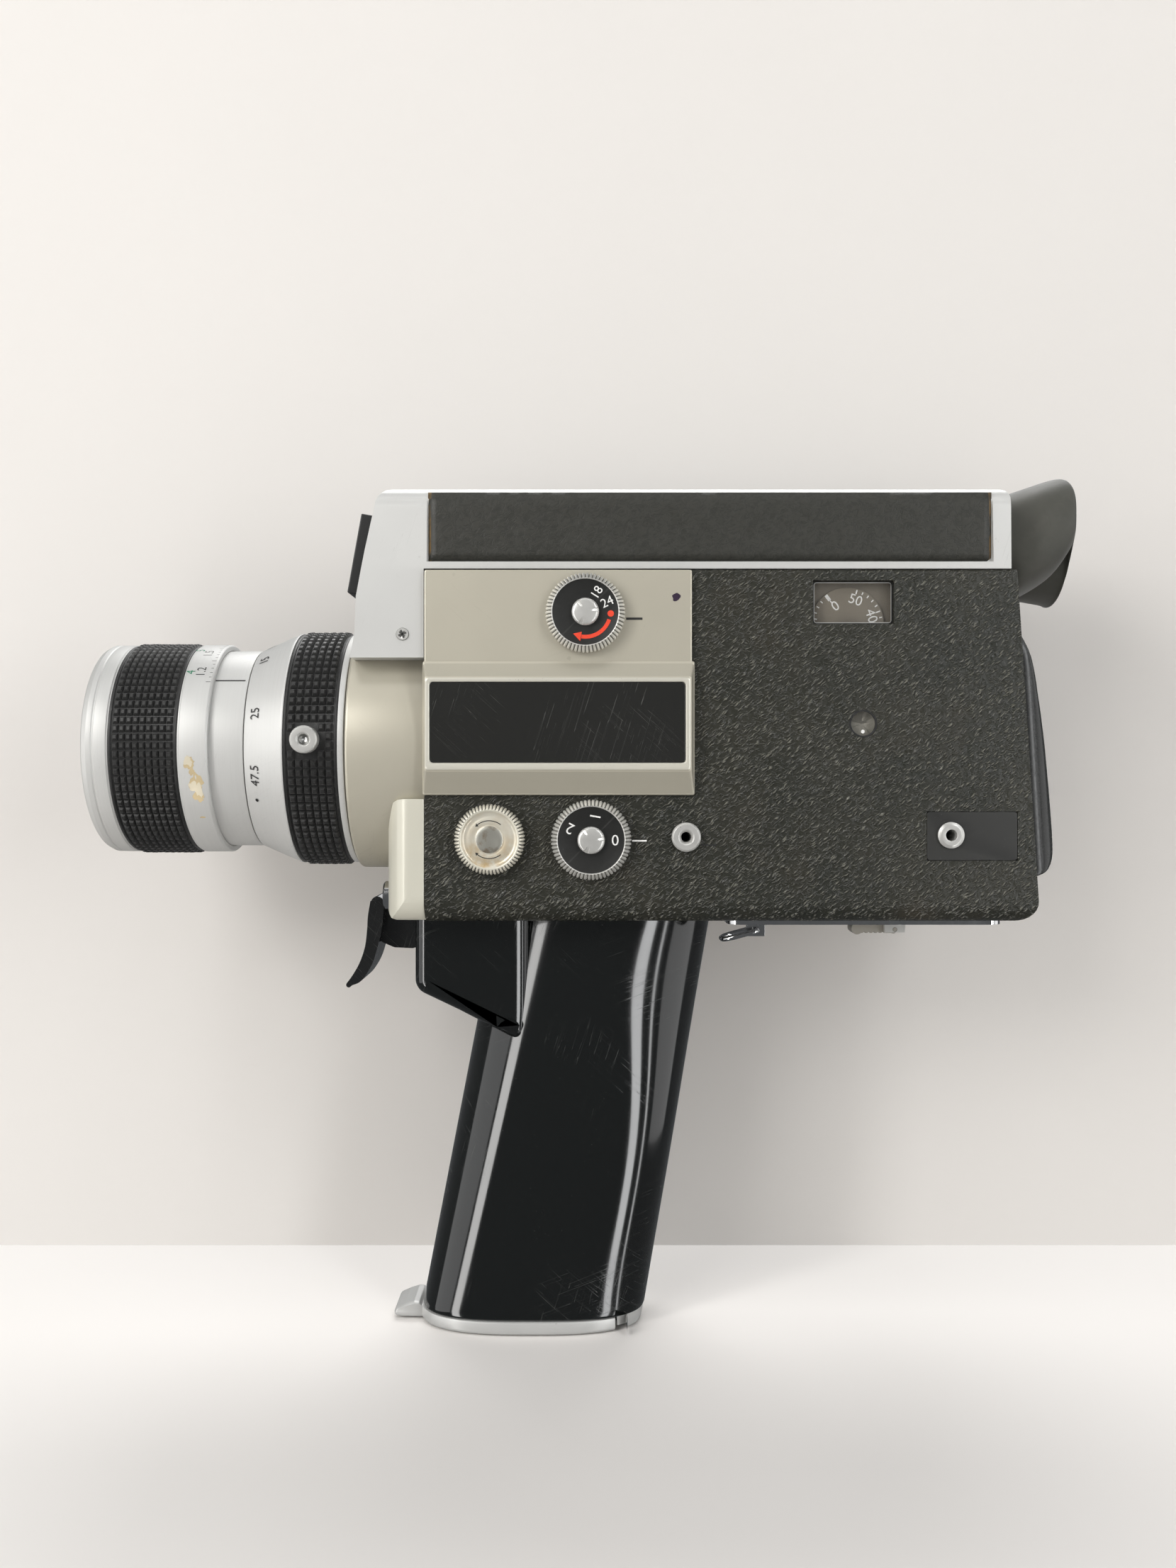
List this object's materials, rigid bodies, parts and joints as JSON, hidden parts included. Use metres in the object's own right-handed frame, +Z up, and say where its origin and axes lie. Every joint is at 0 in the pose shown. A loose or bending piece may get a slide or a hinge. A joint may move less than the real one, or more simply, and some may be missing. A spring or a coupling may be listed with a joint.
{
  "type": "cine camera",
  "caption": "Pistol-grip small-gauge film camera with a ribbed zoom lens, side dials, reflex eyepiece, hinged film door and battery grip.",
  "frame": {"origin": "mouth of the tripod socket in the underside of the grip", "axes": "-X along the optical axis towards the scene, +X towards the eyecup, +Z up, -Y is the camera's left side with the dials"},
  "size_m": [0.2317, 0.0643, 0.2039],
  "materials": {
    "body_black": "coarse crackle black paint",
    "silver_paint": "satin silver paint",
    "leatherette": "fine grained black leatherette",
    "champagne": "satin champagne paint",
    "gloss_black": "gloss black, scratched",
    "pearl": "pearl cream paint",
    "black_plastic": "matte black",
    "window_glass": "clear",
    "instrument_brass": "machined",
    "chrome_trim": "polished",
    "nickel": "nickel plated",
    "grip_black": "high gloss black, scratched",
    "contact_brass": "machined",
    "steel": "drawn wire and turned steel",
    "lens_silver": "satin anodised",
    "lens_glass": "coated",
    "ring_rubber": "moulded studs",
    "black_metal": "black anodised",
    "dial_silver": "satin, ribbed rim",
    "switch_nylon": "natural nylon",
    "door_black": "semi gloss black",
    "key_grey": "warm grey",
    "counter_grey": "matte grey with white scale",
    "eyecup_rubber": "soft moulded rubber"
  },
  "bodies": {
    "housing": {"left_shell": "body_black", "left_cover": "body_black", "right_shell": "body_black", "top_housing": "silver_paint", "leatherette_panels": "leatherette", "front_plate": "champagne", "nameplate": "gloss_black", "lens_mount": "champagne", "corner_cover": "pearl", "meter_bezel": "black_plastic", "meter_window": "window_glass", "meter_movement": "instrument_brass", "release_socket": "chrome_trim", "side_windows": "window_glass", "remote_plate": "black_plastic", "remote_jack": "nickel", "aux_socket": "nickel", "bottom_plate": "chrome_trim", "grip_left": "grip_black", "grip_right": "grip_black", "trigger_guard": "grip_black", "tripod_bush": "nickel", "battery_contacts": "contact_brass", "housing_screws": "nickel", "lens_barrel": "lens_silver", "relay_lens": "lens_glass", "trigger_switch": "black_plastic", "film_chamber": "black_plastic", "film_gate": "steel", "drive_motor": "steel", "finder_optics": "lens_glass", "finder_tube": "black_metal", "eyecup": "eyecup_rubber"},
    "helicoid": {"helicoid_ring": "contact_brass"},
    "focus": {"focus_ring": "lens_silver", "focus_rubber": "ring_rubber", "front_lens": "lens_glass"},
    "zoom": {"zoom_ring": "lens_silver", "zoom_rubber": "ring_rubber", "zoom_lever_socket": "nickel"},
    "variator": {"variator_cell": "black_metal", "variator_lens": "lens_glass"},
    "speed_dial": {"speed_dial": "dial_silver", "speed_dial_cap": "nickel"},
    "main_switch": {"main_switch": "dial_silver", "main_switch_cap": "nickel"},
    "exposure_shaft": {"exposure_shaft": "steel"},
    "exposure_knob": {"exposure_knob": "dial_silver"},
    "trigger": {"trigger": "grip_black"},
    "switch_plunger": {"switch_plunger": "switch_nylon"},
    "rear_door": {"rear_door": "door_black"},
    "latch_disc": {"latch_disc": "nickel"},
    "latch_key": {"latch_key": "key_grey"},
    "strap_ring": {"strap_ring": "steel"},
    "counter_dial": {"counter_dial": "counter_grey"},
    "motor_pinion": {"motor_pinion": "contact_brass"},
    "shutter": {"shutter": "black_metal"},
    "takeup_spindle": {"takeup_spindle": "switch_nylon"},
    "diopter_ring": {"diopter_ring": "black_plastic"},
    "battery_cover": {"battery_cover": "silver_paint"}
  },
  "joints": [
    {"name": "focus_travel", "type": "slide", "parent": "housing", "child": "helicoid", "axis": [1, 0, 0], "range_m": [0, 0.0025]},
    {"name": "focus_turn", "type": "hinge", "parent": "helicoid", "child": "focus", "pos_m": [-0.09, 0, 0.1388], "axis": [1, 0, 0], "range_deg": [0, 175]},
    {"name": "zoom_turn", "type": "hinge", "parent": "housing", "child": "zoom", "pos_m": [-0.052, 0, 0.1388], "axis": [1, 0, 0], "range_deg": [-68, 51]},
    {"name": "variator_travel", "type": "slide", "parent": "housing", "child": "variator", "axis": [1, 0, 0], "range_m": [-0.00713, 0.00535]},
    {"name": "speed_turn", "type": "hinge", "parent": "housing", "child": "speed_dial", "pos_m": [0.0125, -0.03, 0.1685], "axis": [0, 1, 0], "range_deg": [0, 55]},
    {"name": "switch_turn", "type": "hinge", "parent": "housing", "child": "main_switch", "pos_m": [0.0138, -0.03, 0.1174], "axis": [0, 1, 0], "range_deg": [0, 150]},
    {"name": "exposure_pull", "type": "slide", "parent": "housing", "child": "exposure_shaft", "axis": [0, -1, 0], "range_m": [0, 0.0025]},
    {"name": "exposure_turn", "type": "hinge", "parent": "exposure_shaft", "child": "exposure_knob", "pos_m": [-0.0091, -0.03, 0.1175], "axis": [0, 1, 0], "range_deg": [-120, 120]},
    {"name": "trigger_pull", "type": "hinge", "parent": "housing", "child": "trigger", "pos_m": [-0.031, 0, 0.1008], "axis": [0, -1, 0], "range_deg": [0, 8], "stiffness_Nm_per_rad": 0.12, "springref_deg": -14.32},
    {"name": "plunger_travel", "type": "slide", "parent": "housing", "child": "switch_plunger", "axis": [1, 0, 0], "range_m": [0, 0.00131]},
    {"name": "door_swing", "type": "hinge", "parent": "housing", "child": "rear_door", "pos_m": [0.10974, 0.0266, 0.13624], "axis": [-0.0597, 0, 0.9982], "range_deg": [0, 100]},
    {"name": "latch_turn", "type": "hinge", "parent": "housing", "child": "latch_disc", "pos_m": [0.085, -0.0145, 0.0976], "axis": [0, 0, 1], "range_deg": [0, 90]},
    {"name": "key_fold", "type": "hinge", "parent": "latch_disc", "child": "latch_key", "pos_m": [0.085, -0.0145, 0.0959], "axis": [0, -1, 0], "range_deg": [0, 90]},
    {"name": "ring_swing", "type": "hinge", "parent": "housing", "child": "strap_ring", "pos_m": [0.0526, -0.01625, 0.0957], "axis": [0, -1, 0], "range_deg": [-8, 150]},
    {"name": "counter_turn", "type": "hinge", "parent": "housing", "child": "counter_dial", "pos_m": [0.0724, -0.026, 0.1666], "axis": [0, 1, 0], "range_deg": [0, 300]},
    {"name": "pinion_spin", "type": "hinge", "parent": "housing", "child": "motor_pinion", "pos_m": [0, 0.01342, 0.11809], "axis": [1, 0, 0], "continuous": true},
    {"name": "shutter_spin", "type": "hinge", "parent": "housing", "child": "shutter", "pos_m": [0, 0, 0.1268], "axis": [1, 0, 0], "continuous": true},
    {"name": "takeup_spin", "type": "hinge", "parent": "housing", "child": "takeup_spindle", "pos_m": [0.071, 0.012, 0.136], "axis": [0, 1, 0], "continuous": true},
    {"name": "diopter_turn", "type": "hinge", "parent": "housing", "child": "diopter_ring", "pos_m": [0.112, 0, 0.188], "axis": [1, 0, 0], "range_deg": [-90, 90]},
    {"name": "battery_cover_swing", "type": "hinge", "parent": "housing", "child": "battery_cover", "pos_m": [0.0204, 0, 0.00155], "axis": [0, -1, 0], "range_deg": [0, 100]}
  ],
  "couplings": [
    {"joint": "focus_travel", "follows": "focus_turn", "m_per_rad": 0.00081769},
    {"joint": "variator_travel", "follows": "zoom_turn", "m_per_rad": 0.006},
    {"joint": "plunger_travel", "follows": "trigger_pull", "m_per_rad": 0.0093},
    {"joint": "pinion_spin", "follows": "shutter_spin", "ratio": -3},
    {"joint": "takeup_spin", "follows": "shutter_spin", "ratio": 0.25}
  ]
}
